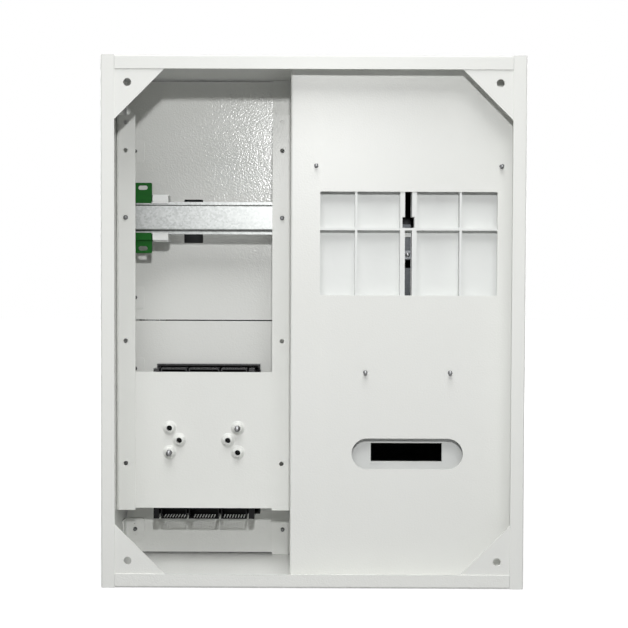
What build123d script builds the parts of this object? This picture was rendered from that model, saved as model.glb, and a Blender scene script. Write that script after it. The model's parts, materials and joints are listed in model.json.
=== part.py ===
from build123d import *
import os

# Distribution board enclosure for a wall or niche: a folded steel case with an open back, two bays and
# a hinged front door. X runs to the right as seen from the open back, Y from the back to the door and
# Z up. The origin is the middle of the wall fixing pattern, on the rear faces of the corner gussets.

# Case
case_w = 430.0
case_h = 540.0
case_depth = 161.2
sheet = 1.2
bend_r = 2.2
rear_flange = 14.0
weld_gap = 0.2
corner_notch = 2.6

# Corner gussets and the wall fixings
gusset_leg = 74.0
gusset_t = 1.5
gusset_gap = 1.0
fixing_from_side = 27.0
fixing_from_end = 27.5
fixing_d = 8.0

# Divider and meter panel
left_bay = 190.3
panel_y = 25.0
divider_rear_lap = 30.5
divider_front_lap = 22.7
panel_left_lap = 20.0
panel_return = 15.0

# Meter board with its window and wiring openings
board_from_divider = 18.7
board_from_wall = 12.6
board_top = 178.0
board_bottom = -166.0
board_depth = 14.0
board_skin = 2.5
board_wall = 2.4
board_corner_r = 6.0
board_edge_r = 2.0
window_in = 11.3
window_h = 107.0
window_z = 81.8
window_r = 1.5
wiring_w = 115.4
wiring_h = 32.0
wiring_z = -136.2
slot_w = 74.5
slot_h = 19.4
slot_frame = 2.2
rib_t = 2.4
rib_from_middle = 54.0
rib_z = 96.8
rib_pitch = 72.0
channel_gap = 7.2
channel_wall = 5.0
hook_slot_w = 6.8
hook_slot_top = 150.0
hook_slot_split = 98.2
hook_entry_w = 12.4
hook_entry_h = 11.3
hook_bridge = 9.0
hook_slot_bottom = -18.0
guide_t = 2.4
guide_h = 4.0
guide_lip = 1.8

# Meter board screws
board_screw_in = 7.5
board_screw_bottom_span = 87.7
board_screw_top = 161.6
board_screw_drop = 213.2
board_screw_d = 4.0
board_screw_hole_d = 4.6
board_screw_tip = 5.5

# Meter hook, a steel slide on the front of the board
hook_strip_w = 13.0
hook_strip_t = 1.8
hook_strip_h = 84.0
hook_strip_top = 94.0
hook_hole_w = 8.0
hook_hole_h = 8.2
hook_hole_z = 61.0
hook_nose = 12.0
hook_nose_w = 9.0
hook_neck = 4.0
hook_nose_h = 9.0
hook_clear = 0.3
hook_screw_d = 5.0
hook_screw_z = 70.5
hook_nut_w = 6.4
hook_nut_h = 9.0
hook_nut_t = 3.2

# Equipment rails
rail_behind_cover = 56.0
rail_face = 21.0
rail_web = 22.0
rail_bend_r = 4.0
rail_top_gap = 48.5
rail_bottom_gap = 63.0
rail_hole_in = 10.5
rail_hole_d = 4.9
rail_low_hole = 51.0
rail_upper_hole = 72.4
rail_top_hole = 102.8

# Rail for modular devices
din_drop = 159.0
din_w = 35.0
din_hat = 27.0
din_h = 7.5
din_t = 1.0
din_bend_r = 1.6
din_end_gap = 1.0
din_screw_d = 4.4
din_screw_tip = 4.5

# Protective earth terminal on that rail
earth_from_wall = 18.0
earth_w = 19.6
earth_h = 76.5
earth_base_t = 3.0
earth_body_h = 50.0
earth_body_t = 15.0
earth_slot_l = 10.3
earth_slot_w = 4.8
earth_slot_out = 33.0
earth_corner_r = 1.0
clip_h = 6.2
clip_back = 2.8
clip_hook = 1.4
clip_hook_t = 1.2
clip_gap = 0.3
bar_w = 7.0
bar_t = 8.0
bar_gap = 0.1
bar_screws = 5
bar_screw_d = 4.0
bar_screw_pitch = 9.0

# Neutral terminal beside it
neutral_gap = 1.2
neutral_w = 17.0
neutral_h = 51.0
neutral_t = 17.0
neutral_bar_h = 40.0
neutral_screws = 4

# Equipment plate with extruded bosses
plate_t = 1.5
plate_lap = 5.0
plate_top = -56.3
plate_h = 148.5
boss_d = 9.6
boss_root_d = 12.4
boss_hole_d = 6.3
boss_h = 5.0
boss_rim = 0.9
boss_flare = 1.6
boss_outer_x = 37.0
boss_inner_x = 26.4
boss_z = 13.3

# Three-pole fuse switch behind the lower cover
switch_w = 110.0
switch_wall = 2.5
switch_drop = 4.25
switch_h = 164.4
switch_depth = 27.0
switch_floor = 4.0
switch_gap = 0.2
pole_wall = 4.6
pole_slit = 2.2
middle_pole_w = 35.2
outer_pole_w = 30.3
terminal_h = 12.0
vent_slots = 8
vent_slot_w = 1.6
vent_pitch = 3.1
vent_end = 1.2
vent_wall = 1.2
switch_lid_w = 115.0
switch_lid_depth = 19.0
switch_lid_wall = 2.0
switch_lid_rise = 3.0
switch_lid_gap = 0.4
switch_lid_r = 3.0
grip_w = 62.0
grip_h = 26.0
grip_depth = 9.0
link_w = 20.0
link_h = 54.0
link_depth = 18.0
link_stand = 6.0
link_edge_r = 2.0
blade_w = 15.0
blade_t = 4.0
blade_h = 20.0
clip_pad_w = 17.0
clip_pad_h = 26.0
clip_pad_t = 2.5
clip_jaw_t = 1.5
clip_jaw_h = 10.0
clip_span = 80.0
clip_clear = 0.2
switch_screw_d = 5.8
switch_screw_tip = 8.0

# Covers over the left bay
cover_t = 1.2
cover_from_front = 24.0
cover_top_gap = 2.0
cover_bottom_gap = 2.8
cover_side_gap = 2.4
cover_joint_z = -1.9
cover_joint = 1.3
cover_corner_r = 1.5
module_w = 21.3
module_h = 49.0
module_drop = 0.9
module_from_wall = 78.0
module_corner_r = 1.0
tab_reach = 22.5
tab_h = 25.0
tab_foot = 18.0
tab_corner_r = 4.0
tab_pilot_d = 2.4
tab_pilot_out = 6.8
cover_screw_in = 11.8
cover_screw_from_top = 81.1
cover_screw_from_bottom = 30.1
cover_screw_over_joint = 25.6
cover_screw_under_joint = 54.9
cover_screw_d = 4.0
cover_screw_hole_d = 4.6
cover_screw_tip = 4.5

# Front door on two pins
door_gap = 1.5
door_end_gap = 2.0
door_rim = 14.0
hinge_from_wall = 14.0
hinge_from_front = 6.0
hinge_pin_d = 5.0
hinge_pin_in = 9.0
hinge_collar_d = 10.0
hinge_clear = 0.08
hinge_weld_clear = 0.05

# Door lock with a turning cam
lock_from_wall = 30.0
lock_z = 0.0
lock_head_d = 24.0
lock_head_t = 2.0
lock_barrel_d = 18.0
lock_barrel_l = 14.0
lock_plug_d = 11.0
lock_clear = 0.06
lock_nut_af = 26.0
lock_nut_t = 5.0
lock_key_w = 2.0
lock_key_l = 7.0
lock_key_depth = 6.0
cam_w = 14.0
cam_l = 26.0
cam_t = 2.0
cam_gap = 0.5
cam_cap_d = 9.0
cam_cap_t = 1.5
keeper_gap = 0.5
keeper_reach = 15.0
keeper_h = 22.0
keeper_foot = 7.0

# Shared values
screw_head_share = 1.9
screw_head_t_share = 0.6
screw_point_share = 0.3
thread_clear = 0.06
cut_over = 1.0
to_front = (0, 1, 0)
to_back = (0, -1, 0)

# Places worked out from the sizes above
rear_y = -sheet
front_y = rear_y + case_depth
wall_x = case_w / 2 - sheet
wall_z = case_h / 2 - sheet
divider_x = left_bay - wall_x
bay_mid_x = (divider_x - wall_x) / 2
fixing_x = case_w - fixing_from_side - fixing_from_side
fixing_z = case_h - fixing_from_end - fixing_from_end
cover_y = front_y - cover_from_front
rail_y = cover_y - rail_behind_cover
strip_y = panel_y - sheet
board_y = panel_y + sheet
board_front_y = board_y + board_depth
board_w = wall_x - divider_x - board_from_divider - board_from_wall
board_x = divider_x + board_from_divider + board_w / 2
board_screw_top_span = board_w - board_screw_in - board_screw_in
window_w = board_w - window_in - window_in
board_mid_z = (board_top + board_bottom) / 2
board_h = board_top - board_bottom
lower_slot_top = hook_slot_split - hook_bridge
din_z = case_h / 2 - din_drop
rail_top = case_h / 2 - rail_top_gap
rail_bottom = rail_bottom_gap - case_h / 2
rail_low_z = rail_bottom + rail_low_hole
rail_hole_zs = (
    din_z + rail_top_hole,
    din_z + rail_upper_hole,
    din_z,
    (din_z + rail_low_z) / 2,
    rail_low_z,
)
rail_hole_xs = (-wall_x + rail_hole_in, divider_x - rail_hole_in)
din_y = rail_y + sheet
din_front_y = din_y + din_h
earth_x = -wall_x + earth_from_wall + earth_w / 2
terminal_y = din_front_y + clip_gap
neutral_x = earth_x + (earth_w + neutral_w) / 2 + neutral_gap
plate_y = rail_y + sheet
plate_front_y = plate_y + plate_t
plate_mid_z = plate_top - plate_h / 2
plate_w = divider_x + wall_x - rail_face - rail_face + plate_lap + plate_lap
boss_places = [
    (bay_mid_x + side * across, plate_mid_z + up)
    for side in (-1, 1)
    for across, up in ((boss_outer_x, boss_z), (boss_inner_x, 0), (boss_outer_x, -boss_z))
]
switch_y = plate_front_y + switch_gap
switch_mid_z = plate_mid_z - switch_drop
switch_bottom = switch_mid_z - switch_h / 2
switch_front_y = switch_y + switch_depth
pole_edge_xs = [
    bay_mid_x + side * (middle_pole_w / 2 + outside)
    for side, outside in ((-1, outer_pole_w), (-1, 0), (1, 0), (1, outer_pole_w))
]
poles = [((a + b) / 2, b - a - pole_wall) for a, b in zip(pole_edge_xs, pole_edge_xs[1:])]
cover_left = -wall_x + cover_side_gap
cover_right = divider_x + sheet
cover_screw_xs = (-wall_x + cover_screw_in, divider_x - cover_screw_in + sheet)
cover_screw_upper = (case_h / 2 - cover_screw_from_top, cover_joint_z + cover_screw_over_joint)
cover_screw_lower = (cover_joint_z - cover_screw_under_joint, cover_screw_from_bottom - case_h / 2)
cover_screw_zs = cover_screw_upper + cover_screw_lower
cover_front_y = cover_y + cover_t
door_back_y = front_y - door_rim
hinge_x = wall_x - hinge_from_wall
hinge_y = front_y - hinge_from_front
lock_x = -wall_x + lock_from_wall
keeper_y = door_back_y - keeper_gap
cam_y = keeper_y - sheet - cam_gap - cam_t


def depth_plane(y):
    """Upright plane at depth y, with X to the right and Z up."""
    return Plane.XZ.offset(-y)


def folded(plane, points, thick=sheet, radius=bend_r, side=Side.RIGHT):
    """Section of a folded sheet: the line through the points, thickened to one side of its run."""
    with BuildSketch(plane) as section:
        with BuildLine():
            FilletPolyline(*points, radius=radius)
            offset(amount=thick, side=side)
        make_face()
    return section.sketch


def screw(shank_d, seat_y, tip_y):
    """Pan head screw along Y on the Z axis: the head sits at seat_y and the point is at tip_y."""
    head_r = shank_d * screw_head_share / 2
    head_t = shank_d * screw_head_t_share
    point = shank_d * screw_point_share
    with BuildPart() as one:
        with BuildSketch(Plane.XY):
            with BuildLine():
                Polyline(
                    (0, tip_y),
                    (shank_d / 2 - point, tip_y),
                    (shank_d / 2, tip_y + point),
                    (shank_d / 2, seat_y),
                    (head_r, seat_y),
                    (head_r, seat_y + head_t),
                    (0, seat_y + head_t),
                    close=True,
                )
            make_face()
        revolve(axis=Axis.Y)
    return one.part


def screw_group(one, places):
    """The same screw at each place, as separate solids."""
    with BuildPart() as group:
        with Locations(*[(x, 0, z) for x, z in places]):
            add(one)
    return group


def keep(piece, name):
    """Labels a finished piece and writes it."""
    piece.part.label = name
    export_step(piece.part, f"parts/{name}.step")


os.makedirs("parts", exist_ok=True)

# Side walls: full-height sheets with a rear flange folded inwards
with BuildPart() as left_wall:
    wall_line = [
        (rear_flange - case_w / 2, rear_y),
        (-case_w / 2, rear_y),
        (-case_w / 2, front_y),
    ]
    extrude(folded(Plane.XY.offset(-case_h / 2), wall_line), amount=case_h)
keep(left_wall, "left_wall")

with BuildPart() as right_wall:
    mirror(left_wall.part, about=Plane.YZ)
keep(right_wall, "right_wall")

# Top and bottom walls: between the side walls, notched at the rear corners, bored for the hinge pins
with BuildPart() as top_wall:
    wall_line = [
        (rear_y, case_h / 2 - rear_flange),
        (rear_y, case_h / 2),
        (front_y, case_h / 2),
    ]
    end_x = wall_x - weld_gap
    extrude(folded(Plane.YZ.offset(-end_x), wall_line), amount=end_x + end_x)
    flange_end = case_w / 2 - rear_flange - weld_gap
    with BuildSketch(Plane.XY.offset(case_h / 2 - rear_flange - cut_over)):
        for side in (-1, 1):
            with Locations((side * (flange_end + end_x + cut_over) / 2, rear_y + corner_notch / 2)):
                Rectangle(end_x + cut_over - flange_end, corner_notch)
    extrude(amount=rear_flange + cut_over + cut_over, mode=Mode.SUBTRACT)
    with BuildSketch(Plane.XY.offset(case_h / 2)):
        with Locations((hinge_x, hinge_y)):
            Circle(hinge_pin_d / 2 + hinge_weld_clear)
    extrude(amount=-sheet, mode=Mode.SUBTRACT)
keep(top_wall, "top_wall")

with BuildPart() as bottom_wall:
    mirror(top_wall.part, about=Plane.XY)
keep(bottom_wall, "bottom_wall")

# Corner gussets: triangles against the rear flanges, each with a wall fixing hole
gusset_corners = {
    "gusset_top_left": (-1, 1),
    "gusset_top_right": (1, 1),
    "gusset_bottom_left": (-1, -1),
    "gusset_bottom_right": (1, -1),
}
for gusset_name, (side, up) in gusset_corners.items():
    with BuildPart() as gusset:
        with BuildSketch(depth_plane(0)):
            corner_x = wall_x - gusset_gap
            corner_z = wall_z - gusset_gap
            with BuildLine():
                Polyline(
                    (side * corner_x, up * corner_z),
                    (side * (corner_x - gusset_leg), up * corner_z),
                    (side * corner_x, up * (corner_z - gusset_leg)),
                    close=True,
                )
            make_face()
            with Locations((side * fixing_x / 2, up * fixing_z / 2)):
                Circle(fixing_d / 2, mode=Mode.SUBTRACT)
        extrude(amount=gusset_t, dir=to_front)
    keep(gusset, gusset_name)

# Divider: a Z section whose rear lap carries the meter panel and whose front lap carries the covers
with BuildPart() as divider:
    divider_line = [
        (divider_x + divider_rear_lap, strip_y),
        (divider_x, strip_y),
        (divider_x, cover_y - sheet),
        (divider_x - divider_front_lap, cover_y - sheet),
    ]
    divider_z = wall_z - weld_gap
    extrude(folded(Plane.XY.offset(-divider_z), divider_line), amount=divider_z + divider_z)
    with BuildSketch(depth_plane(strip_y)):
        with Locations((board_x - board_screw_top_span / 2, board_screw_top)):
            Circle(board_screw_hole_d / 2)
    extrude(amount=sheet, dir=to_front, mode=Mode.SUBTRACT)
    with BuildSketch(depth_plane(cover_y - sheet)):
        with Locations(*[(cover_screw_xs[1], z) for z in cover_screw_zs]):
            Circle(cover_screw_hole_d / 2)
    extrude(amount=sheet, dir=to_front, mode=Mode.SUBTRACT)
keep(divider, "divider")

# Meter panel: a sheet behind the divider's lap, with the board's window and the wiring opening
board_screw_places = [
    (board_x - board_screw_top_span / 2, board_screw_top),
    (board_x + board_screw_top_span / 2, board_screw_top),
    (board_x - board_screw_bottom_span / 2, board_screw_top - board_screw_drop),
    (board_x + board_screw_bottom_span / 2, board_screw_top - board_screw_drop),
]
with BuildPart() as meter_panel:
    panel_right = wall_x - weld_gap
    panel_line = [
        (panel_right, panel_y + panel_return),
        (panel_right, panel_y),
        (divider_x + divider_rear_lap - panel_left_lap, panel_y),
    ]
    panel_z = wall_z - weld_gap
    extrude(folded(Plane.XY.offset(-panel_z), panel_line), amount=panel_z + panel_z)
    with BuildSketch(depth_plane(panel_y)):
        with Locations((board_x, window_z)):
            RectangleRounded(window_w, window_h, window_r)
        with Locations((board_x, wiring_z)):
            SlotOverall(wiring_w, wiring_h)
        with Locations(*board_screw_places):
            Circle(board_screw_hole_d / 2)
    extrude(amount=sheet, dir=to_front, mode=Mode.SUBTRACT)
keep(meter_panel, "meter_panel")

# Meter board: a moulded tray, ribbed on its back, with the hook's slots and the wiring slot
with BuildPart() as meter_board:
    with BuildSketch(depth_plane(board_y)):
        with Locations((board_x, board_mid_z)):
            RectangleRounded(board_w, board_h, board_corner_r)
    extrude(amount=board_depth, dir=to_front)
    fillet(meter_board.faces().sort_by(Axis.Y)[-1].edges(), radius=board_edge_r)
    with BuildSketch(depth_plane(board_y)):
        inner_w = board_w - board_wall - board_wall
        inner_h = board_h - board_wall - board_wall
        with Locations((board_x, board_mid_z)):
            RectangleRounded(inner_w, inner_h, board_corner_r - board_wall)
    extrude(amount=board_depth - board_skin, dir=to_front, mode=Mode.SUBTRACT)
    with BuildSketch(depth_plane(board_y)):
        for side in (-1, 1):
            with Locations((board_x + side * rib_from_middle, board_mid_z)):
                Rectangle(rib_t, inner_h)
            channel_x = board_x + side * (channel_gap + channel_wall) / 2
            channel_low = hook_slot_bottom - channel_wall
            with Locations((channel_x, (inner_h / 2 + board_mid_z + channel_low) / 2)):
                Rectangle(channel_wall, inner_h / 2 + board_mid_z - channel_low)
        for step in (-2, -1, 0, 1):
            with Locations((board_x, rib_z + step * rib_pitch)):
                Rectangle(inner_w, rib_t)
        with Locations((board_x, wiring_z)):
            Rectangle(slot_w + slot_frame + slot_frame, slot_h + slot_frame + slot_frame)
        with Locations(*board_screw_places):
            Circle(board_screw_d)
    extrude(amount=board_depth - board_skin, dir=to_front)
    with BuildSketch(depth_plane(board_y)):
        with Locations((board_x, (hook_slot_top + hook_slot_split) / 2)):
            Rectangle(channel_gap, hook_slot_top - hook_slot_split)
        with Locations((board_x, (lower_slot_top + hook_slot_bottom) / 2)):
            Rectangle(channel_gap, lower_slot_top - hook_slot_bottom)
        with Locations((board_x, hook_slot_split + hook_entry_h / 2)):
            Rectangle(hook_entry_w, hook_entry_h)
    extrude(amount=board_depth - board_skin, dir=to_front, mode=Mode.SUBTRACT)
    with BuildSketch(depth_plane(board_front_y)):
        guide_low = hook_slot_bottom - channel_wall
        guide_x = hook_strip_w / 2 + hook_clear + guide_t / 2
        for side in (-1, 1):
            with Locations((board_x + side * guide_x, (lower_slot_top + guide_low) / 2)):
                Rectangle(guide_t, lower_slot_top - guide_low)
    extrude(amount=guide_h, dir=to_front)
    with BuildSketch(depth_plane(board_front_y + hook_strip_t + hook_clear)):
        for side in (-1, 1):
            with Locations((board_x + side * (guide_x - guide_lip / 2), (lower_slot_top + guide_low) / 2)):
                Rectangle(guide_t + guide_lip, lower_slot_top - guide_low)
    extrude(amount=guide_h - hook_strip_t - hook_clear, dir=to_front)
    with BuildSketch(depth_plane(board_y)):
        with Locations((board_x, (hook_slot_top + hook_slot_split) / 2)):
            Rectangle(hook_slot_w, hook_slot_top - hook_slot_split)
        with Locations((board_x, hook_slot_split + hook_entry_h / 2)):
            Rectangle(hook_entry_w, hook_entry_h)
        with Locations((board_x, (lower_slot_top + hook_slot_bottom) / 2)):
            Rectangle(hook_slot_w, lower_slot_top - hook_slot_bottom)
        with Locations((board_x, wiring_z)):
            Rectangle(slot_w, slot_h)
        with Locations(*board_screw_places):
            Circle(board_screw_hole_d / 2)
    extrude(amount=board_depth + cut_over, dir=to_front, mode=Mode.SUBTRACT)
keep(meter_board, "meter_board")

# Meter board screws: from the front, with their points towards the open back
keep(
    screw_group(screw(board_screw_d, board_front_y, strip_y - board_screw_tip), board_screw_places),
    "meter_board_screws",
)

# Meter hook: a steel strip in the guides of the board, with a bent nose and a clamping screw
with BuildPart() as meter_hook:
    strip_y0 = board_front_y + hook_clear / 2
    hook_line = [
        (strip_y0, hook_strip_top - hook_strip_h),
        (strip_y0, hook_strip_top),
        (strip_y0 + hook_nose, hook_strip_top),
        (strip_y0 + hook_nose, hook_strip_top + hook_nose_h),
    ]
    hook_x = board_x - hook_strip_w / 2
    extrude(
        folded(Plane.YZ.offset(hook_x), hook_line, hook_strip_t, hook_strip_t + hook_clear),
        amount=hook_strip_w,
    )
    with BuildSketch(depth_plane(strip_y0)):
        with Locations((board_x, hook_hole_z)):
            Rectangle(hook_hole_w, hook_hole_h)
        with Locations((board_x, hook_screw_z)):
            Circle(hook_screw_d / 2 + hook_clear)
    extrude(amount=hook_strip_t, dir=to_front, mode=Mode.SUBTRACT)
    # The nose is narrower than the strip, so that it passes between the lips of the guides
    with BuildSketch(depth_plane(strip_y0)):
        neck_h = hook_neck + hook_nose_h + cut_over
        for side in (-1, 1):
            neck_x = board_x + side * (hook_strip_w + hook_nose_w) / 4
            with Locations((neck_x, hook_strip_top - hook_neck + neck_h / 2)):
                Rectangle((hook_strip_w - hook_nose_w) / 2, neck_h)
    extrude(amount=hook_nose + hook_strip_t + cut_over, dir=to_front, mode=Mode.SUBTRACT)
keep(meter_hook, "meter_hook")

hook_nut_y = board_front_y - board_skin - hook_clear - hook_nut_t
keep(
    screw_group(
        screw(hook_screw_d, strip_y0 + hook_strip_t, hook_nut_y - hook_strip_t), [(board_x, hook_screw_z)]
    ),
    "meter_hook_screw",
)

with BuildPart() as meter_hook_nut:
    with BuildSketch(depth_plane(hook_nut_y)):
        with Locations((board_x, hook_screw_z)):
            Rectangle(hook_nut_w, hook_nut_h)
            Circle(hook_screw_d / 2 + thread_clear, mode=Mode.SUBTRACT)
    extrude(amount=hook_nut_t, dir=to_front)
keep(meter_hook_nut, "meter_hook_nut")

# Equipment rails: angles welded to the left wall and the divider, bored along their faces
with BuildPart() as left_rail:
    rail_line = [
        (rail_face - wall_x, rail_y),
        (weld_gap - wall_x, rail_y),
        (weld_gap - wall_x, rail_y + rail_web),
    ]
    extrude(
        folded(Plane.XY.offset(rail_bottom), rail_line, radius=rail_bend_r), amount=rail_top - rail_bottom
    )
    with BuildSketch(depth_plane(rail_y)):
        with Locations(*[(rail_hole_xs[0], z) for z in rail_hole_zs]):
            Circle(rail_hole_d / 2)
    extrude(amount=sheet, dir=to_front, mode=Mode.SUBTRACT)
keep(left_rail, "left_rail")

with BuildPart() as right_rail:
    mirror(left_rail.part, about=Plane.YZ.offset(bay_mid_x))
keep(right_rail, "right_rail")

# Rail for modular devices: a galvanised hat section screwed to the fronts of the rails
with BuildPart() as din_rail:
    lip_y = din_front_y - din_t
    din_line = [
        (lip_y, din_z + din_w / 2),
        (lip_y, din_z + din_hat / 2),
        (din_y, din_z + din_hat / 2),
        (din_y, din_z - din_hat / 2),
        (lip_y, din_z - din_hat / 2),
        (lip_y, din_z - din_w / 2),
    ]
    din_in = weld_gap + rail_bend_r + din_end_gap
    din_left = din_in - wall_x
    din_right = divider_x - din_in
    extrude(
        folded(Plane.YZ.offset(din_left), din_line, din_t, din_bend_r, Side.LEFT), amount=din_right - din_left
    )
    with BuildSketch(depth_plane(din_y)):
        with Locations(*[(x, din_z) for x in rail_hole_xs]):
            Circle(rail_hole_d / 2)
    extrude(amount=din_t, dir=to_front, mode=Mode.SUBTRACT)
keep(din_rail, "din_rail")

keep(
    screw_group(
        screw(din_screw_d, din_y + din_t, rail_y - din_screw_tip), [(x, din_z) for x in rail_hole_xs]
    ),
    "din_rail_screws",
)


def terminal_clips(x, width):
    """Two ledges above and below the rail for modular devices, each with a hook behind its lip."""
    for up in (-1, 1):
        edge_z = din_z + up * (din_w / 2 + clip_gap)
        with BuildSketch(depth_plane(terminal_y)) as ledge:
            with Locations((x, edge_z + up * clip_h / 2)):
                Rectangle(width, clip_h)
        extrude(ledge.sketch, amount=clip_back + clip_gap, dir=to_back)
        hook_y = lip_y - clip_gap
        with BuildSketch(depth_plane(hook_y)) as hook:
            with Locations((x, edge_z + up * (clip_h - clip_hook - clip_gap) / 2)):
                Rectangle(width, clip_h + clip_hook + clip_gap)
        extrude(hook.sketch, amount=clip_hook_t, dir=to_back)


# Protective earth terminal: a green moulding with slotted ears, clipped on the rail
with BuildPart() as earth_terminal:
    with BuildSketch(depth_plane(terminal_y)):
        with Locations((earth_x, din_z)):
            RectangleRounded(earth_w, earth_h, earth_corner_r)
        with Locations((earth_x, din_z + earth_slot_out), (earth_x, din_z - earth_slot_out)):
            SlotOverall(earth_slot_l, earth_slot_w, mode=Mode.SUBTRACT)
    extrude(amount=earth_base_t, dir=to_front)
    with BuildSketch(depth_plane(terminal_y)):
        with Locations((earth_x, din_z)):
            Rectangle(earth_w, earth_body_h)
    extrude(amount=earth_body_t, dir=to_front)
    fillet(earth_terminal.faces().sort_by(Axis.Y)[-1].edges(), radius=earth_corner_r)
    with BuildSketch(depth_plane(terminal_y + earth_body_t)):
        with Locations((earth_x, din_z)):
            Rectangle(bar_w + bar_gap + bar_gap, earth_body_h + cut_over)
    extrude(amount=bar_t, dir=to_back, mode=Mode.SUBTRACT)
    terminal_clips(earth_x, earth_w)
keep(earth_terminal, "earth_terminal")


def terminal_bar(x, height, face_y, screws):
    """Brass terminal bar that lies in its moulding, bored for its clamp screws."""
    with BuildPart() as bar:
        with BuildSketch(depth_plane(face_y - bar_t + bar_gap)):
            with Locations((x, din_z)):
                Rectangle(bar_w, height)
            with Locations((x, din_z)):
                with GridLocations(0, bar_screw_pitch, 1, screws):
                    Circle(bar_screw_d / 2 + thread_clear, mode=Mode.SUBTRACT)
        extrude(amount=bar_t - bar_gap, dir=to_front)
    return bar


def bar_screw_group(x, face_y, screws):
    """Clamp screws along a terminal bar."""
    first = (screws - 1) / 2
    places = [(x, din_z + (step - first) * bar_screw_pitch) for step in range(screws)]
    return screw_group(screw(bar_screw_d, face_y, face_y - bar_t / 2), places)


earth_front_y = terminal_y + earth_body_t
keep(terminal_bar(earth_x, earth_body_h, earth_front_y, bar_screws), "earth_bar")
keep(bar_screw_group(earth_x, earth_front_y, bar_screws), "earth_bar_screws")

# Neutral terminal: a pale moulding clipped beside the earth terminal
with BuildPart() as neutral_terminal:
    with BuildSketch(depth_plane(terminal_y)):
        with Locations((neutral_x, din_z)):
            RectangleRounded(neutral_w, neutral_h, earth_corner_r)
    extrude(amount=neutral_t, dir=to_front)
    fillet(neutral_terminal.faces().sort_by(Axis.Y)[-1].edges(), radius=earth_corner_r)
    with BuildSketch(depth_plane(terminal_y + neutral_t)):
        with Locations((neutral_x, din_z)):
            Rectangle(bar_w + bar_gap + bar_gap, neutral_bar_h + bar_gap + bar_gap)
    extrude(amount=bar_t, dir=to_back, mode=Mode.SUBTRACT)
    terminal_clips(neutral_x, neutral_w)
keep(neutral_terminal, "neutral_terminal")
neutral_front_y = terminal_y + neutral_t
keep(terminal_bar(neutral_x, neutral_bar_h, neutral_front_y, neutral_screws), "neutral_bar")
keep(bar_screw_group(neutral_x, neutral_front_y, neutral_screws), "neutral_bar_screws")

# Equipment plate: welded across the fronts of the rails, with bosses drawn out of the sheet
with BuildPart() as equipment_plate:
    with BuildSketch(depth_plane(plate_y)):
        with Locations((bay_mid_x, plate_mid_z)):
            Rectangle(plate_w, plate_h)
    extrude(amount=plate_t, dir=to_front)
    with Locations(depth_plane(plate_y)):
        with Locations(*boss_places):
            Cone(boss_root_d / 2, boss_d / 2, boss_h, align=(Align.CENTER, Align.CENTER, Align.MIN))
    rims, roots = equipment_plate.edges().filter_by(GeomType.CIRCLE).group_by(Axis.Y)[:2]
    chamfer(rims, length=boss_rim)
    chamfer(roots, length=boss_flare)
    with BuildSketch(depth_plane(plate_front_y)):
        with Locations(*boss_places):
            Circle(boss_hole_d / 2)
    extrude(amount=plate_t + boss_h, dir=to_back, mode=Mode.SUBTRACT)
keep(equipment_plate, "equipment_plate")

# Fuse switch base: a tray of three pole chambers, open at the front, with vented terminal ends
with BuildPart() as switch_base:
    with BuildSketch(depth_plane(switch_y)):
        with Locations((bay_mid_x, switch_mid_z)):
            Rectangle(switch_w, switch_h)
    extrude(amount=switch_depth, dir=to_front)
    with BuildSketch(depth_plane(switch_front_y)):
        for x, chamber_w in poles:
            with Locations((x, switch_mid_z)):
                Rectangle(chamber_w, switch_h - terminal_h - terminal_h)
    extrude(amount=switch_depth - switch_floor, dir=to_back, mode=Mode.SUBTRACT)
    # Terminal chambers: open at the back, closed at the end by the vented wall
    with BuildSketch(depth_plane(switch_y)):
        for up in (-1, 1):
            chamber_z = switch_mid_z + up * (switch_h - vent_wall - terminal_h) / 2
            for x, chamber_w in poles:
                with Locations((x, chamber_z)):
                    Rectangle(chamber_w, terminal_h - vent_wall)
    extrude(amount=switch_depth - switch_wall, dir=to_front, mode=Mode.SUBTRACT)
    # Vents: slits through the lower end wall, along the depth
    with BuildSketch(Plane.XY.offset(switch_bottom - cut_over)):
        vent_l = switch_depth - switch_wall - vent_end - vent_end
        with Locations(*[(x, switch_y + vent_l / 2 + vent_end) for x, _ in poles]):
            with GridLocations(vent_pitch, 0, vent_slots, 1):
                Rectangle(vent_slot_w, vent_l)
    extrude(amount=vent_wall + cut_over, mode=Mode.SUBTRACT)
    # Air gaps beside the poles at both ends
    with BuildSketch(depth_plane(switch_y)):
        for up in (-1, 1):
            slit_z = switch_mid_z + up * (switch_h - terminal_h + cut_over) / 2
            with Locations(*[(x, slit_z) for x in pole_edge_xs]):
                Rectangle(pole_slit, terminal_h + cut_over)
    extrude(amount=switch_depth, dir=to_front, mode=Mode.SUBTRACT)
    with BuildSketch(depth_plane(switch_y)):
        with Locations(boss_places[2], boss_places[3]):
            Circle(switch_screw_d / 2 + clip_clear)
    extrude(amount=switch_floor, dir=to_front, mode=Mode.SUBTRACT)
keep(switch_base, "switch_base")

keep(
    screw_group(
        screw(switch_screw_d, switch_y + switch_floor, plate_y - boss_h - switch_screw_tip),
        (boss_places[2], boss_places[3]),
    ),
    "switch_screws",
)

# Contact clips: a pad on the chamber floor with two jaws for the blade of a fuse link
clip_y = switch_y + switch_floor
with BuildPart() as switch_contacts:
    contact_places = [(x, switch_mid_z + up * clip_span / 2) for x, _ in poles for up in (-1, 1)]
    with BuildSketch(depth_plane(clip_y)):
        with Locations(*contact_places):
            Rectangle(clip_pad_w, clip_pad_h)
    extrude(amount=clip_pad_t, dir=to_front)
    with BuildSketch(depth_plane(clip_y + clip_pad_t)):
        for side in (-1, 1):
            jaw_x = side * (blade_t / 2 + clip_clear + clip_jaw_t / 2)
            with Locations(*[(x + jaw_x, z) for x, z in contact_places]):
                Rectangle(clip_jaw_t, clip_pad_h)
    extrude(amount=clip_jaw_h, dir=to_front)
keep(switch_contacts, "switch_contacts")

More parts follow.
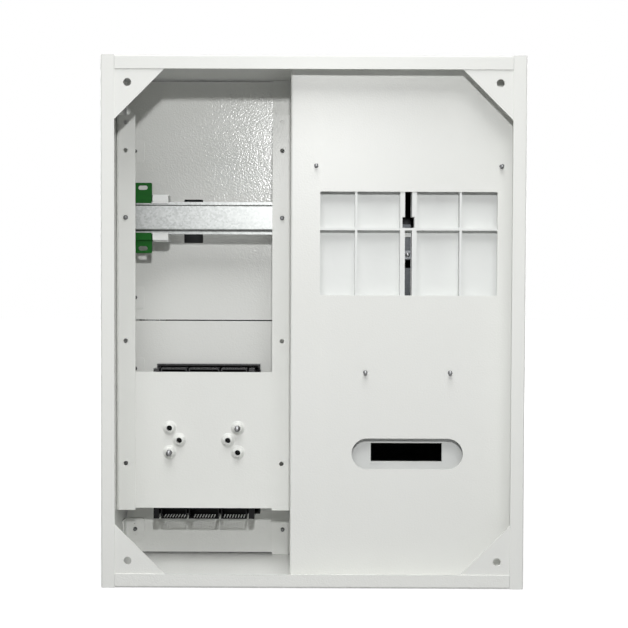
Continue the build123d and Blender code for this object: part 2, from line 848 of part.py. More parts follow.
# Fuse links: square ceramic bodies with a blade at each end, held in the clips
link_y = clip_y + link_stand
with BuildPart() as fuse_links:
    with BuildSketch(depth_plane(link_y)):
        with Locations(*[(x, switch_mid_z) for x, _ in poles]):
            RectangleRounded(link_w, link_h, link_edge_r)
    extrude(amount=link_depth, dir=to_front)
    with BuildSketch(depth_plane(link_y)):
        with Locations(*[(x, switch_mid_z + up * link_h / 2) for x, _ in poles for up in (-1, 1)]):
            Rectangle(blade_t, blade_h + blade_h)
    extrude(amount=blade_w, dir=to_front)
keep(fuse_links, "fuse_links")

# Fuse switch lid: a moulded shell over the chambers, with a recessed grip
with BuildPart() as switch_lid:
    lid_y = switch_front_y + switch_lid_gap
    lid_x = bay_mid_x + (switch_lid_w - switch_w) / 2
    with BuildSketch(depth_plane(lid_y)):
        with Locations((lid_x, switch_mid_z + switch_lid_rise / 2)):
            Rectangle(switch_lid_w, switch_h + switch_lid_rise)
    extrude(amount=switch_lid_depth, dir=to_front)
    fillet(switch_lid.faces().sort_by(Axis.Y)[-1].edges(), radius=switch_lid_r)
    lid_mouth = switch_lid.faces().sort_by(Axis.Y)[0]
    offset(amount=-switch_lid_wall, openings=lid_mouth)
    with BuildSketch(depth_plane(lid_y + switch_lid_depth)):
        with Locations((lid_x, switch_mid_z)):
            RectangleRounded(grip_w, grip_h, switch_lid_r)
    extrude(amount=grip_depth + switch_lid_wall, dir=to_back)
    with BuildSketch(depth_plane(lid_y + switch_lid_depth)):
        with Locations((lid_x, switch_mid_z)):
            RectangleRounded(
                grip_w - switch_lid_wall - switch_lid_wall,
                grip_h - switch_lid_wall - switch_lid_wall,
                switch_lid_r - switch_lid_wall / 2,
            )
    extrude(amount=grip_depth, dir=to_back, mode=Mode.SUBTRACT)
keep(switch_lid, "switch_lid")

# Cover tabs: angles on the left wall that the cover screws go into
for number, tab_z in enumerate(cover_screw_zs, start=1):
    with BuildPart() as cover_tab:
        tab_line = [
            (weld_gap - wall_x, cover_y - tab_foot),
            (weld_gap - wall_x, cover_y),
            (tab_reach - wall_x, cover_y),
        ]
        extrude(folded(Plane.XY.offset(tab_z - tab_h / 2), tab_line), amount=tab_h)
        tips = cover_tab.edges().filter_by(Axis.Y).sort_by(Axis.X)[-2:]
        fillet(tips, radius=tab_corner_r)
        with BuildSketch(depth_plane(cover_y)):
            with Locations((cover_screw_xs[0], tab_z)):
                Circle(cover_screw_hole_d / 2)
            with Locations(
                (cover_screw_xs[0], tab_z + tab_pilot_out), (cover_screw_xs[0], tab_z - tab_pilot_out)
            ):
                Circle(tab_pilot_d / 2)
        extrude(amount=sheet, dir=to_back, mode=Mode.SUBTRACT)
    keep(cover_tab, f"cover_tab_{number}")


def bay_cover(low_z, high_z, screw_zs):
    """Flat cover over part of the left bay, bored for its screws."""
    with BuildPart() as cover:
        with BuildSketch(depth_plane(cover_y)):
            with Locations(((cover_left + cover_right) / 2, (low_z + high_z) / 2)):
                RectangleRounded(cover_right - cover_left, high_z - low_z, cover_corner_r)
            with Locations(*[(x, z) for x in cover_screw_xs for z in screw_zs]):
                Circle(cover_screw_hole_d / 2, mode=Mode.SUBTRACT)
        extrude(amount=cover_t, dir=to_front)
    return cover


# Covers: two painted sheets that meet in the middle, the upper one with a window for one module
upper_blank = bay_cover(cover_joint_z + cover_joint / 2, wall_z - cover_top_gap, cover_screw_upper)
with BuildPart() as upper_cover:
    add(upper_blank.part)
    with BuildSketch(depth_plane(cover_y)):
        with Locations((module_from_wall - wall_x, din_z - module_drop)):
            RectangleRounded(module_w, module_h, module_corner_r)
    extrude(amount=cover_t, dir=to_front, mode=Mode.SUBTRACT)
keep(upper_cover, "upper_cover")

lower_cover = bay_cover(cover_bottom_gap - wall_z, cover_joint_z - cover_joint / 2, cover_screw_lower)
keep(lower_cover, "lower_cover")

keep(
    screw_group(
        screw(cover_screw_d, cover_front_y, cover_y - sheet - cover_screw_tip),
        [(x, z) for x in cover_screw_xs for z in cover_screw_zs],
    ),
    "cover_screws",
)

# Door: a folded pan set between the walls, bored for the hinge pins and the lock
with BuildPart() as door:
    door_w = wall_x + wall_x - door_gap - door_gap
    door_h = wall_z + wall_z - door_end_gap - door_end_gap
    with BuildSketch(depth_plane(door_back_y)):
        Rectangle(door_w, door_h)
    extrude(amount=door_rim, dir=to_front)
    fillet(door.faces().sort_by(Axis.Y)[-1].edges(), radius=bend_r)
    door_mouth = door.faces().sort_by(Axis.Y)[0]
    offset(amount=-sheet, openings=door_mouth)
    with BuildSketch(Plane.XY.offset(-door_h / 2)):
        with Locations((hinge_x, hinge_y)):
            Circle(hinge_pin_d / 2 + hinge_clear)
    extrude(amount=door_h, mode=Mode.SUBTRACT)
    with BuildSketch(depth_plane(front_y)):
        with Locations((lock_x, lock_z)):
            Circle(lock_barrel_d / 2 + lock_clear)
    extrude(amount=sheet, dir=to_back, mode=Mode.SUBTRACT)
keep(door, "door")

# Hinge pins: welded flush into the top and bottom walls, with a collar that the door's rim runs on
with BuildPart() as hinge_pin_top:
    with BuildSketch(Plane.XY.offset(case_h / 2)):
        with Locations((hinge_x, hinge_y)):
            Circle(hinge_pin_d / 2)
    extrude(amount=-sheet - door_end_gap - hinge_pin_in)
    with BuildSketch(Plane.XY.offset(wall_z)):
        with Locations((hinge_x, hinge_y)):
            Circle(hinge_collar_d / 2)
    extrude(amount=hinge_clear - door_end_gap)
    chamfer(hinge_pin_top.faces().sort_by(Axis.Z)[0].edges(), length=bend_r / 2)
keep(hinge_pin_top, "hinge_pin_top")

with BuildPart() as hinge_pin_bottom:
    mirror(hinge_pin_top.part, about=Plane.XY)
keep(hinge_pin_bottom, "hinge_pin_bottom")

# Door lock: a headed barrel through the door, its nut, and the turning plug with its cam
with BuildPart() as lock_body:
    with BuildSketch(depth_plane(front_y)):
        with Locations((lock_x, lock_z)):
            Circle(lock_head_d / 2)
    extrude(amount=lock_head_t, dir=to_front)
    chamfer(lock_body.faces().sort_by(Axis.Y)[-1].edges(), length=lock_head_t / 2)
    with BuildSketch(depth_plane(front_y)):
        with Locations((lock_x, lock_z)):
            Circle(lock_barrel_d / 2)
    extrude(amount=lock_barrel_l, dir=to_back)
    with BuildSketch(depth_plane(front_y + lock_head_t)):
        with Locations((lock_x, lock_z)):
            Circle(lock_plug_d / 2 + lock_clear)
    extrude(amount=lock_head_t + lock_barrel_l, dir=to_back, mode=Mode.SUBTRACT)
keep(lock_body, "lock_body")

with BuildPart() as lock_nut:
    with BuildSketch(depth_plane(front_y - sheet)):
        with Locations((lock_x, lock_z)):
            RegularPolygon(lock_nut_af / 2, 6, major_radius=False)
            Circle(lock_barrel_d / 2 + lock_clear, mode=Mode.SUBTRACT)
    extrude(amount=lock_nut_t, dir=to_back)
keep(lock_nut, "lock_nut")

with BuildPart() as lock_plug:
    with BuildSketch(depth_plane(front_y + lock_head_t)):
        with Locations((lock_x, lock_z)):
            Circle(lock_plug_d / 2)
    extrude(amount=front_y + lock_head_t - cam_y - cam_t, dir=to_back)
    with BuildSketch(depth_plane(front_y + lock_head_t)):
        with Locations((lock_x, lock_z)):
            Rectangle(lock_key_w, lock_key_l)
    extrude(amount=lock_key_depth, dir=to_back, mode=Mode.SUBTRACT)
keep(lock_plug, "lock_plug")

with BuildPart() as lock_cam:
    with BuildSketch(depth_plane(cam_y)):
        with Locations((lock_x, lock_z)):
            Circle(cam_w / 2)
        with Locations((lock_x, lock_z + cam_l / 2)):
            Rectangle(cam_w, cam_l)
    extrude(amount=cam_t, dir=to_front)
    with BuildSketch(depth_plane(cam_y)):
        with Locations((lock_x, lock_z)):
            Circle(cam_cap_d / 2)
    extrude(amount=cam_cap_t, dir=to_back)
keep(lock_cam, "lock_cam")

# Lock keeper: an angle on the left wall that the cam turns behind
with BuildPart() as lock_keeper:
    keeper_line = [
        (weld_gap - wall_x, keeper_y - keeper_foot),
        (weld_gap - wall_x, keeper_y),
        (keeper_reach - wall_x, keeper_y),
    ]
    extrude(folded(Plane.XY.offset(lock_z - keeper_h / 2), keeper_line), amount=keeper_h)
keep(lock_keeper, "lock_keeper")
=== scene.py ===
import json
from math import cos, pi, radians, sin

import bmesh
import bpy
from mathutils import Matrix, Vector


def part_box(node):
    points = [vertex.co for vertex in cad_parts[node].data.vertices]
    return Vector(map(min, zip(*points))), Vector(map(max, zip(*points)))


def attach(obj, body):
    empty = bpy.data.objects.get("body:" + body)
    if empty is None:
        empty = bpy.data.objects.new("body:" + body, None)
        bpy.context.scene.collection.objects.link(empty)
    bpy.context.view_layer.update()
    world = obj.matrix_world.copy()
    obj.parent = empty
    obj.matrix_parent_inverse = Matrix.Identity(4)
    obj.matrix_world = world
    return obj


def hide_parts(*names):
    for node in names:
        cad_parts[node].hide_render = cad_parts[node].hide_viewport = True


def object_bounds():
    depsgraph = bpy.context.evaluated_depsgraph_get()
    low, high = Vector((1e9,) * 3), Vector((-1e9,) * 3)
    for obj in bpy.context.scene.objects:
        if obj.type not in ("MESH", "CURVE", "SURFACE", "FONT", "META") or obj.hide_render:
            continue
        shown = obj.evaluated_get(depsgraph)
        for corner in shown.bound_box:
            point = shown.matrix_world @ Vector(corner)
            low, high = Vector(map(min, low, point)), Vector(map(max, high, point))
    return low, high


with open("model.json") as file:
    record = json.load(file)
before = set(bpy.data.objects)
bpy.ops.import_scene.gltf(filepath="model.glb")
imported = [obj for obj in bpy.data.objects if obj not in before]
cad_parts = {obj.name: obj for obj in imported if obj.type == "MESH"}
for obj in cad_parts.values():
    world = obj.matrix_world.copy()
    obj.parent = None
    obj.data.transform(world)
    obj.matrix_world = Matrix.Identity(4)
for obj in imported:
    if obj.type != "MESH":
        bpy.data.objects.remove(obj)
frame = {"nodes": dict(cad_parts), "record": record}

cad_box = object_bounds()
nodes = frame["nodes"]


# Case of the board: walls, gussets, divider, meter panel, rails, plate, tabs, covers and keeper
# Folded steel sheet, welded and then powder-coated white all over. The baked coat has a fine
# orange-peel, which glitters where it mirrors the lamp and is nearly smooth elsewhere.
class Wire:
    """One socket of a material: sums and products of it add Math nodes."""

    def __init__(self, tree, socket):
        self.tree = tree
        self.socket = socket

    def node(self, kind, settings, inputs, out=0):
        """Adds a node of this kind: its settings first, then the values or wires of its sockets."""
        added = self.tree.nodes.new(kind)
        for name, value in settings.items():
            setattr(added, name, value)
        for name, value in inputs.items():
            if isinstance(value, Wire):
                self.tree.links.new(value.socket, added.inputs[name])
            else:
                added.inputs[name].default_value = value
        return Wire(self.tree, added.outputs[out])

    def math(self, operation, *values):
        """Math node of this operation on one or two values."""
        return self.node("ShaderNodeMath", {"operation": operation}, dict(enumerate(values)))

    def __add__(self, other):
        return self.math("ADD", self, other)

    def __radd__(self, other):
        return self.math("ADD", other, self)

    def __sub__(self, other):
        return self.math("SUBTRACT", self, other)

    def __rsub__(self, other):
        return self.math("SUBTRACT", other, self)

    def __mul__(self, other):
        return self.math("MULTIPLY", self, other)

    def __rmul__(self, other):
        return self.math("MULTIPLY", other, self)

    def __gt__(self, other):
        return self.math("GREATER_THAN", self, other)

    def __lt__(self, other):
        return self.math("LESS_THAN", self, other)

    def __abs__(self):
        return self.math("ABSOLUTE", self)

    def axis(self, name):
        """The X, Y or Z of this vector."""
        return self.node("ShaderNodeSeparateXYZ", {}, {"Vector": self}, out=name)

    def noise(self, scale, detail=2.0, rough=0.5):
        """Cloudy noise on this vector, about 0.5 in the mean, with so many lumps to the metre."""
        return self.node(
            "ShaderNodeTexNoise", {}, {"Vector": self, "Scale": scale, "Detail": detail, "Roughness": rough}
        )

    def between(self, low, high, start=0.0, end=1.0):
        """This value, which runs from start to end, stretched from low to high."""
        reach = {"From Min": start, "From Max": end, "To Min": low, "To Max": high}
        return self.node("ShaderNodeMapRange", {}, {"Value": self, **reach})

    def blend(self, first, second):
        """Colour between first and second, by this value."""
        return self.node("ShaderNodeMix", {"data_type": "RGBA"}, {0: self, 6: first, 7: second}, out=2)

    def bump(self, distance):
        """Normal of a surface whose height is this value times the distance."""
        return self.node("ShaderNodeBump", {}, {"Height": self, "Distance": distance})


def colour(red, green, blue):
    """Shader colour from 0 to 255 values as a picture shows them."""
    share = [value / 255 for value in (red, green, blue)]
    linear = [s / 12.92 if s <= 0.04045 else ((s + 0.055) / 1.055) ** 2.4 for s in share]
    return (*linear, 1.0)


def finish_of(name, **constants):
    """New material: returns it with its shader, which has these constants, and the place on the piece."""
    material = bpy.data.materials.new(name)
    material.use_nodes = True
    tree = material.node_tree
    shader = tree.nodes["Principled BSDF"]
    for socket, value in constants.items():
        shader.inputs[socket.replace("_", " ")].default_value = value
    place = tree.nodes.new("ShaderNodeTexCoord")
    return material, shader, Wire(tree, place.outputs["Object"])


def feed(shader, **wires):
    """Joins wires to the sockets of a shader."""
    for socket, wire in wires.items():
        wire.tree.links.new(wire.socket, shader.inputs[socket.replace("_", " ")])


def dress(material, *names):
    """Gives the material to nodes of the frame."""
    for name in names:
        slots = nodes[name].data.materials
        slots.clear()
        slots.append(material)


peel_per_metre = 600.0
cloud_per_metre = 7.0
coat_tones = (colour(224, 225, 221), colour(228, 229, 226))


def coat_of(place):
    """Cloudy tone of the white coat and the height of its orange-peel, both from 0 to 1."""
    return place.noise(cloud_per_metre, detail=3.0), place.noise(peel_per_metre, detail=1.0, rough=0.4)


def powder_coat(name, gloss, rough, peel_height):
    """White powder coat with an orange-peel of this height."""
    material, shader, place = finish_of(name, Specular_IOR_Level=gloss, IOR=1.5)
    cloud, peel = coat_of(place)
    feed(
        shader,
        Base_Color=cloud.blend(*coat_tones),
        Roughness=cloud.between(*rough),
        Normal=peel.bump(peel_height),
    )
    return material


satin_white = powder_coat("satin_white", gloss=0.12, rough=(0.26, 0.32), peel_height=0.00012)
cover_white = powder_coat("cover_white", gloss=0.33, rough=(0.16, 0.19), peel_height=0.00018)
gloss_white = powder_coat("gloss_white", gloss=0.25, rough=(0.26, 0.32), peel_height=0.00006)
gussets = ("gusset_top_left", "gusset_top_right", "gusset_bottom_left", "gusset_bottom_right")
tabs = ("cover_tab_1", "cover_tab_2", "cover_tab_3", "cover_tab_4")
inner_sheets = ("divider", "meter_panel", "left_rail", "right_rail", "equipment_plate", "lock_keeper")
dress(satin_white, "top_wall", *gussets, *inner_sheets, *tabs)
dress(gloss_white, "left_wall", "right_wall")
dress(cover_white, "upper_cover", "lower_cover", "bottom_wall")

# Meter board
# One white plastic moulding, screwed to the door side of the meter panel, whose windows show its
# ribbed back. The skin is glossy and wavy, and the ribs stop short of the wiring slot.
wave_per_metre = 45.0
wave_height = 0.0004
shade_per_metre = 12.0
board_white, shader, place = finish_of("board_white", Specular_IOR_Level=0.35, IOR=1.49)
wave = place.noise(wave_per_metre)
shade = place.noise(shade_per_metre)
feed(
    shader,
    Base_Color=shade.blend(colour(217, 219, 217), colour(223, 225, 223)),
    Roughness=wave.between(0.4, 0.52),
    Normal=wave.bump(wave_height),
)
crease = radians(32)


def piece(name, mesh, material, body, replaced):
    """Finished bmesh as an object that rides on a body, in place of a node of the frame."""
    data = bpy.data.meshes.new(name)
    mesh.to_mesh(data)
    mesh.free()
    data.materials.append(material)
    for face in data.polygons:
        face.use_smooth = True
    data.set_sharp_from_angle(angle=crease)
    made = bpy.data.objects.new(name, data)
    bpy.context.scene.collection.objects.link(made)
    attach(made, body)
    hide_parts(replaced)
    return made


weld = 1e-6
rib_height = 0.0115
rib_stub = 0.0003
rib_end = 0.001
clear_half_w = 0.060
clear_half_h = 0.019
openings = {opening["name"]: opening["box_m"] for opening in frame["record"]["physics"]["openings"]}
slot_middle = sum((Vector(corner) for corner in openings["wiring_slot"]), Vector()) / 2
stub_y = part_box("meter_board")[0].y + rib_height - rib_stub
board = bmesh.new()
board.from_mesh(nodes["meter_board"].data)
bmesh.ops.remove_doubles(board, verts=board.verts, dist=weld)
# Two cuts above the slot and two below it give each rib a short slope down to its stub.
for reach in (clear_half_h, clear_half_h + rib_end):
    for side in (-1, 1):
        whole = board.verts[:] + board.edges[:] + board.faces[:]
        cut = (0, 0, slot_middle.z + side * reach)
        bmesh.ops.bisect_plane(board, geom=whole, plane_co=cut, plane_no=(0, 0, 1))
for vert in board.verts:
    off = vert.co - slot_middle
    if abs(off.x) < clear_half_w and abs(off.z) < clear_half_h + rib_end / 2:
        vert.co.y = max(vert.co.y, stub_y)
bmesh.ops.remove_doubles(board, verts=board.verts, dist=weld)
moulding = piece("moulded_meter_board", board, board_white, "case", "meter_board")
# The board's faces are flat, and smoothing would shade them across the cuts.
for face in moulding.data.polygons:
    face.use_smooth = False

# Rail for modular devices
# Rolled from hot-dip galvanised strip: bright zinc with a spangle of crystals, each of its own
# brightness, and faint rolling lines along the rail. Two screws hold it.
spangle_per_metre = 520.0
spangle_height = 0.000005
rolling_stretch = (6.0, 260.0, 260.0)
rolling_height = 0.00002
galvanised, shader, place = finish_of("galvanised", Metallic=1.0)
crystal = place.node(
    "ShaderNodeTexVoronoi", {"feature": "F1"}, {"Vector": place, "Scale": spangle_per_metre}, out="Color"
)
flake = crystal.node("ShaderNodeSeparateColor", {}, {"Color": crystal})
drawn_out = place.node("ShaderNodeMapping", {}, {"Vector": place, "Scale": rolling_stretch})
lines = drawn_out.noise(1.0, detail=3.0)
feed(
    shader,
    Base_Color=flake.blend(colour(126, 128, 127), colour(144, 146, 145)),
    Roughness=(flake * 0.5 + lines * 0.5).between(0.34, 0.42),
    Normal=(flake * spangle_height + lines * rolling_height).bump(1.0),
)
dress(galvanised, "din_rail")


# Meter hook and its nut
# The hook is pressed steel that slides in the board's slot, and the nut behind it is zinc-plated and
# mottled in specks. Both are given dark colours as painted shade for the deep slot they sit in.
def metal(name, dark, light, rough, per_metre, detail=3.0, bump_height=0.0):
    """Bare or plated metal, mottled between two tones with so many spots to the metre."""
    material, shader, place = finish_of(name, Metallic=1.0)
    mottle = place.noise(per_metre, detail)
    feed(shader, Base_Color=mottle.blend(dark, light), Roughness=mottle.between(*rough))
    if bump_height:
        feed(shader, Normal=mottle.bump(bump_height))
    return material


# Dark tones: the steel's own grey, darkened further as painted shade of the deep slot.
hook_tones = (colour(44, 46, 48), colour(70, 72, 74))
hook_steel = metal("hook_steel", *hook_tones, rough=(0.26, 0.46), per_metre=420.0, bump_height=0.00004)
dress(hook_steel, "meter_hook")
# Dark tones: the zinc's own mottle, darkened further as painted shade of the deep slot.
nut_tones = (colour(52, 54, 56), colour(120, 122, 124))
painted_shade_zinc = metal("painted_shade_zinc", *nut_tones, rough=(0.5, 0.34), per_metre=700.0, bump_height=0.00008)
dress(painted_shade_zinc, "meter_hook_nut")

# Zinc-plated small steel: lock cam, lock nut and hinge pins
# Pressed or turned steel with a thin zinc coat, greyer than the rail and slightly mottled.
zinc_tones = (colour(96, 100, 104), colour(190, 193, 196))
zinc_plate = metal("zinc_plate", *zinc_tones, rough=(0.22, 0.5), per_metre=520.0, bump_height=0.00006)
dress(zinc_plate, "lock_cam", "lock_nut", "hinge_pin_top", "hinge_pin_bottom")

# Screws
# Steel screws with a rolled thread and a pan head with a cross or a slot, zinc-plated. Their colour is
# darkened as a painted reflection of the dark surroundings their points face. The points of most of
# them show from the open back.
# Dark tones: partly the zinc's own mottle, partly a painted dark reflection.
screw_tones = (colour(84, 85, 86), colour(150, 151, 152))
screw_steel = metal("screw_steel", *screw_tones, rough=(0.24, 0.42), per_metre=900.0, detail=2.0)


def islands(node):
    """Lowest and highest corner of each separate solid of a node, in the node's order."""
    solids = bmesh.new()
    solids.from_mesh(nodes[node].data)
    bmesh.ops.remove_doubles(solids, verts=solids.verts, dist=weld)
    left = set(solids.verts)
    boxes = []
    for start in list(solids.verts):
        if start not in left:
            continue
        left.discard(start)
        reached = [start]
        for vert in reached:
            for edge in vert.link_edges:
                other = edge.other_vert(vert)
                if other in left:
                    left.discard(other)
                    reached.append(other)
        low = Vector([min(v.co[axis] for v in reached) for axis in range(3)])
        high = Vector([max(v.co[axis] for v in reached) for axis in range(3)])
        boxes.append((low, high))
    solids.free()
    return boxes


def picked(geom, kind):
    """The items of one kind in what an operator made."""
    return [item for item in geom if isinstance(item, kind)]


turn_steps = 16
thread_depth = 0.55  # of the pitch
thread_weld = 0.01  # of the pitch
point_width = 0.62  # of the full thread
point_gain = 0.19  # of the full thread, at each turn


def add_thread(mesh, radius, pitch, tip, seat):
    """Threaded shank round the Y axis, from its point at tip to inside the head on its seat."""
    root = radius - thread_depth * pitch
    turns = int((seat - tip) / pitch)
    outline = ((root, tip), (radius, tip + pitch / 2), (root, tip + pitch))
    verts = [mesh.verts.new((x, y, 0)) for x, y in outline]
    edges = [mesh.edges.new(pair) for pair in zip(verts, verts[1:])]
    bmesh.ops.spin(
        mesh,
        geom=verts + edges,
        cent=(0, 0, 0),
        axis=(0, 1, 0),
        dvec=(0, pitch / turn_steps, 0),
        angle=2 * pi * turns,
        steps=turn_steps * turns,
    )
    bmesh.ops.remove_doubles(mesh, verts=mesh.verts, dist=thread_weld * pitch)
    for vert in mesh.verts:
        lead = min(1.0, point_width + point_gain * (vert.co.y - tip) / pitch)
        vert.co = (vert.co.x * lead, vert.co.y, vert.co.z * lead)
    middle = (tip + seat) / 2
    rims = [edge for edge in mesh.edges if edge.is_boundary]
    point_rim = [edge for edge in rims if edge.verts[0].co.y < middle]
    head_rim = [edge for edge in rims if edge.verts[0].co.y >= middle]
    for rim, end in ((point_rim, tip), (head_rim, seat + pitch / 2)):
        fan = picked(bmesh.ops.extrude_edge_only(mesh, edges=rim)["geom"], bmesh.types.BMVert)
        bmesh.ops.pointmerge(mesh, verts=fan, merge_co=(0, end, 0))


head_share = 0.6  # height of the head, of the thread's width
head_dome = 0.28  # of the head's height
head_band = 0.35  # of the head's height
slot_depth = 0.5  # of the head's height
head_top = 0.94  # of the head's radius
cross_half = 0.52  # of the head's radius
slot_half = 0.13  # of the head's radius


def add_head(mesh, radius, height, seat, slots):
    """Pan head on the seat, with a cross (two slots) or one slot sunk in its top."""
    rows = (-1.0, -cross_half, -slot_half, slot_half, cross_half, 1.0)
    cells = len(rows) - 1
    grid = bmesh.ops.create_grid(mesh, x_segments=cells, y_segments=cells, size=1.0)["verts"]
    for vert in grid:
        column, row = (round((value + 1) / 2 * cells) for value in vert.co[:2])
        across = Vector((rows[column], rows[row]))
        if column in (0, cells) or row in (0, cells):
            across.normalize()
        sag = head_dome * height * across.length_squared
        vert.co = (radius * head_top * across.x, seat + height - sag, radius * head_top * across.y)
    mesh.normal_update()
    corners = set(grid)
    faces = [face for face in mesh.faces if corners.issuperset(face.verts)]
    reach = cross_half if slots == 2 else 1.0
    sunk = []
    for face in faces:
        x, _, z = (abs(value) / radius for value in face.calc_center_median())
        if (z < slot_half and x < reach) or (slots == 2 and x < slot_half and z < reach):
            sunk.append(face)
    rim = [edge for face in faces for edge in face.edges if edge.is_boundary]
    side = bmesh.ops.extrude_edge_only(mesh, edges=rim)["geom"]
    for vert in picked(side, bmesh.types.BMVert):
        flat = Vector((vert.co.x, vert.co.z)).normalized() * radius
        vert.co = (flat.x, seat + head_band * height, flat.y)
    skirt = bmesh.ops.extrude_edge_only(mesh, edges=picked(side, bmesh.types.BMEdge))["geom"]
    for vert in picked(skirt, bmesh.types.BMVert):
        vert.co.y = seat
    bmesh.ops.holes_fill(mesh, edges=picked(skirt, bmesh.types.BMEdge), sides=0)
    pit = bmesh.ops.extrude_face_region(mesh, geom=sunk)["geom"]
    for vert in picked(pit, bmesh.types.BMVert):
        vert.co.y -= slot_depth * height
    bmesh.ops.delete(mesh, geom=sunk, context="FACES_ONLY")


screw_weld = 1e-7


def screws(node, body, thread_d, pitch, slots=2):
    """Threaded screws in place of the plain ones of a node."""
    group = bmesh.new()
    for low, high in islands(node):
        one = bmesh.new()
        head_r = (high.x - low.x) / 2
        head_t = thread_d * head_share
        seat = high.y - head_t
        add_thread(one, thread_d / 2, pitch, low.y, seat)
        add_head(one, head_r, head_t, seat, slots)
        bmesh.ops.remove_doubles(one, verts=one.verts, dist=screw_weld)
        bmesh.ops.recalc_face_normals(one, faces=one.faces)
        middle = (low + high) / 2
        bmesh.ops.translate(one, verts=one.verts, vec=(middle.x, 0, middle.z))
        data = bpy.data.meshes.new("one_screw")
        one.to_mesh(data)
        one.free()
        group.from_mesh(data)
        bpy.data.meshes.remove(data)
    piece(node.replace("screw", "threaded_screw"), group, screw_steel, body, node)


screws("meter_board_screws", "case", 0.0040, 0.00075)
screws("din_rail_screws", "case", 0.0044, 0.00080)
screws("switch_screws", "case", 0.0058, 0.00090)
screws("cover_screws", "case", 0.0040, 0.00075)
screws("earth_bar_screws", "case", 0.0040, 0.00070, slots=1)
screws("neutral_bar_screws", "case", 0.0040, 0.00070, slots=1)
screws("meter_hook_screw", "hook", 0.0050, 0.00080)

# Terminals
# Green and pale mouldings that clip on the rail, each round a brass bar with clamp screws. The
# plastic is satin, with the fine grain of a spark-eroded mould.
grain_per_metre = 1700.0
grain_height = 0.00005
tint_per_metre = 60.0


def moulded(name, dark, light, rough, gloss):
    """Moulded plastic between two tones: its material, shader and place, as finish_of gives them."""
    material, shader, place = finish_of(name, Specular_IOR_Level=gloss, IOR=1.5)
    grain = place.noise(grain_per_metre)
    tint = place.noise(tint_per_metre)
    feed(
        shader,
        Base_Color=tint.blend(dark, light),
        Roughness=grain.between(*rough),
        Normal=grain.bump(grain_height),
    )
    return material, shader, place


earth_tones = (colour(12, 76, 18), colour(20, 92, 27))
earth_green, shader, place = moulded("earth_green", *earth_tones, rough=(0.3, 0.42), gloss=0.1)
dress(earth_green, "earth_terminal")
neutral_tones = (colour(214, 216, 214), colour(226, 227, 225))
neutral_pale, shader, place = moulded("neutral_pale", *neutral_tones, rough=(0.4, 0.55), gloss=0.3)
dress(neutral_pale, "neutral_terminal")
brass_tones = (colour(176, 142, 78), colour(206, 174, 106))
brass = metal("brass", *brass_tones, rough=(0.24, 0.44), per_metre=240.0)
dress(brass, "earth_bar", "neutral_bar")

# Fuse switch
# Black heat-proof moulding with a lid, tin-plated contact clips and three fuse links, whose pale
# ceramic bodies have plated blades at both ends. The top edge of the moulding is polished.
polished_rim = 0.004
polish_rough = 0.06
switch_tones = (colour(20, 20, 21), colour(28, 28, 29))
switch_black, shader, place = moulded("switch_black", *switch_tones, rough=(0.2, 0.3), gloss=0.1)
shader.inputs["Coat Roughness"].default_value = polish_rough
feed(shader, Coat_Weight=place.axis("Z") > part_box("switch_base")[1].z - polished_rim)
dress(switch_black, "switch_base", "switch_lid")
tin_tones = (colour(176, 176, 172), colour(206, 206, 202))
tin = metal("tin", *tin_tones, rough=(0.25, 0.4), per_metre=300.0)
dress(tin, "switch_contacts")
link_body_h = 0.054
link_low, link_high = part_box("fuse_links")
link_mid = (link_low.z + link_high.z) / 2
link_specks_per_metre = 500.0
fuse_link, shader, place = finish_of("fuse_link", Specular_IOR_Level=0.5, IOR=1.5)
blade = abs(place.axis("Z") - link_mid) > link_body_h / 2
speck = place.noise(link_specks_per_metre, detail=3.0)
ceramic = speck.blend(colour(214, 207, 192), colour(226, 220, 208))
feed(
    shader,
    Base_Color=blade.blend(ceramic, colour(196, 196, 192)),
    Roughness=speck.between(0.3, 0.45),
    Metallic=blade,
)
dress(fuse_link, "fuse_links")

# Door and its lock
# The door is a folded pan, powder-coated white outside; its inside is painted dark grey, a painted shade
# for the closed, unlit space behind the covers. The lock is a bright-plated die-casting with a turning
# plug that takes the key.
door_skin = 0.0006
door_rim_skin = 0.0008
door_peel_height = 0.00008
# Painted shade: this dark grey on the door's inside stands in for the shade of the closed space behind the
# covers.
cavity_shade_grey = colour(84, 86, 87)
inside_rough = 0.3
door_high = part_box("door")[1]
door_white, shader, place = finish_of("door_white", Specular_IOR_Level=0.15, IOR=1.5)
beside = abs(place.axis("X")) < door_high.x - door_rim_skin
above = abs(place.axis("Z")) < door_high.z - door_rim_skin
inside = (place.axis("Y") < door_high.y - door_skin) * beside * above
cloud, peel = coat_of(place)
# The inside gets the painted-shade grey in place of the white coat.
feed(
    shader,
    Base_Color=inside.blend(cloud.blend(*coat_tones), cavity_shade_grey),
    Roughness=cloud.between(0.28, 0.34) + inside * inside_rough,
    Normal=peel.bump(door_peel_height),
)
dress(door_white, "door")
chrome_tones = (colour(198, 200, 203), colour(214, 216, 218))
chrome = metal("chrome", *chrome_tones, rough=(0.08, 0.2), per_metre=420.0)
dress(chrome, "lock_body", "lock_plug")

# Floor and the white round it
# A plain pale floor under the case. It and the world look white to the camera and in reflections,
# and light the case only as a soft grey room would.
floor_size = 8.0
floor_gap = 0.0005
floor_grey = colour(150, 150, 150)
near, near_glow = 0.5, 0.72
far, far_glow = 1.4, 1.0
room_light = 0.02


def shown(tree):
    """1 on rays from the camera, in reflections and through glass, and 0 on those that light the case."""
    path = tree.nodes.new("ShaderNodeLightPath").outputs
    kinds = ("Is Camera Ray", "Is Glossy Ray", "Is Transmission Ray")
    seen, mirrored, through = (Wire(tree, path[kind]) for kind in kinds)
    return seen.math("MINIMUM", seen + mirrored + through, 1.0)


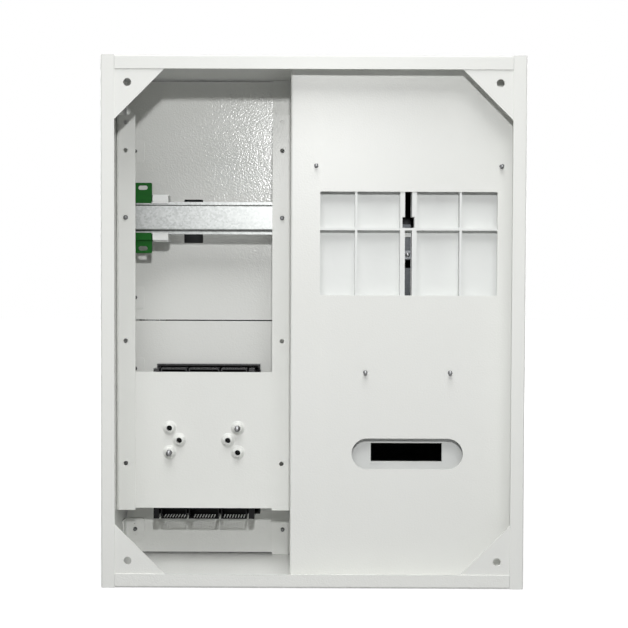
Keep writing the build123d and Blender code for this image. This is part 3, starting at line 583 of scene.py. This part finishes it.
floor_mesh = bmesh.new()
bmesh.ops.create_grid(floor_mesh, x_segments=1, y_segments=1, size=floor_size)
bmesh.ops.translate(floor_mesh, verts=floor_mesh.verts, vec=(0, 0, cad_box[0][2] - floor_gap))
floor_data = bpy.data.meshes.new("floor")
floor_mesh.to_mesh(floor_data)
floor_mesh.free()
floor = bpy.data.objects.new("floor", floor_data)
bpy.context.scene.collection.objects.link(floor)
floor_white, shader, place = finish_of(
    "floor_white", Base_Color=floor_grey, Roughness=0.9, Specular_IOR_Level=0.1, Emission_Strength=1.0
)
away = place.node("ShaderNodeVectorMath", {"operation": "LENGTH"}, {0: place}, out="Value")
feed(shader, Emission_Color=away.between(near_glow, far_glow, near, far) * shown(floor_white.node_tree))
floor_data.materials.append(floor_white)

world = bpy.data.worlds.new("white_room")
bpy.context.scene.world = world
world.use_nodes = True
room = world.node_tree.nodes["Background"]
room.inputs["Color"].default_value = (1, 1, 1, 1)
feed(room, Strength=shown(world.node_tree).between(room_light, 1.0))


# Lamps
# One small lamp just above the camera, which throws the short shadows below the rails and flanges,
# and two wide soft ones, above it and overhead, that fill them. Two more soft ones light the door.
def lamp(name, place, aim, size, watts):
    """Area lamp of this width and height at a place, turned to its aim."""
    light = bpy.data.lights.new(name, "AREA")
    light.shape = "RECTANGLE"
    light.size, light.size_y = size
    light.energy = watts
    thing = bpy.data.objects.new(name, light)
    thing.location = place
    thing.rotation_euler = (Vector(aim) - Vector(place)).to_track_quat("-Z", "Y").to_euler()
    bpy.context.scene.collection.objects.link(thing)


lamp("key", place=(0.020, -1.128, 0.330), aim=(0, 0.06, 0), size=(0.05, 0.05), watts=6.4)
lamp("sky", place=(0.0, -1.90, 1.97), aim=(0, 0.05, 0), size=(1.7, 1.05), watts=28.0)
lamp("ceiling", place=(0.0, -0.90, 3.2), aim=(0, 0.05, 0), size=(1.9, 1.9), watts=64.0)
for name, side in (("door_side_left", -1), ("door_side_right", 1)):
    lamp(name, place=(1.3 * side, 1.6, 0.35), aim=(0, 0.1, 0), size=(1.2, 1.2), watts=25.0)

# Camera
# Straight at the open back, a little above the middle and turned down to it.
sensor = 36.0
lens = 63.90
stand = Vector((0.00297, -1.12774, 0.04095))
pitch, yaw, roll = -0.02788, -0.00175, 0.00373
ahead = Vector((sin(yaw) * cos(pitch), cos(yaw) * cos(pitch), sin(pitch)))
right = Vector((cos(yaw), -sin(yaw), 0))
up = right.cross(ahead)
right, up = right * cos(roll) + up * sin(roll), up * cos(roll) - right * sin(roll)
camera_data = bpy.data.cameras.new("camera")
camera_data.sensor_width = sensor
camera_data.lens = lens
camera = bpy.data.objects.new("camera", camera_data)
camera.matrix_world = Matrix.Translation(stand) @ Matrix((right, up, -ahead)).transposed().to_4x4()
bpy.context.scene.collection.objects.link(camera)
bpy.context.scene.camera = camera
bpy.context.scene.view_settings.view_transform = "Standard"
